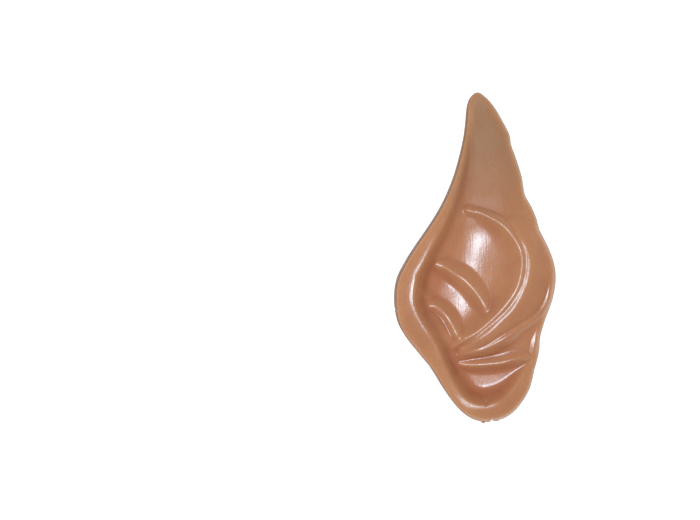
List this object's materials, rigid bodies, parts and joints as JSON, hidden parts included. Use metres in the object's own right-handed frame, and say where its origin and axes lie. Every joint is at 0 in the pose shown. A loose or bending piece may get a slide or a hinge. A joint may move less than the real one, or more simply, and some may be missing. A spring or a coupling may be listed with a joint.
{
  "type": "elf ear tip",
  "caption": "Hollow pointed costume ear of soft vinyl that slips over the wearer's own ear, with a rolled rim, sculpted folds and a pocket behind the point.",
  "frame": {"origin": "on the surface that the ear lies on, under the middle of its outline", "axes": "+Z out of the sculpted face, +Y from the lobe to the point, +X towards the wavy edge, away from the rolled rim"},
  "size_m": [0.06, 0.1244, 0.02],
  "materials": {
    "flesh_vinyl": "glossy soft vinyl in a warm tan flesh colour, slightly translucent"
  },
  "bodies": {
    "root": {"ear_shell": "flesh_vinyl"}
  },
  "joints": []
}
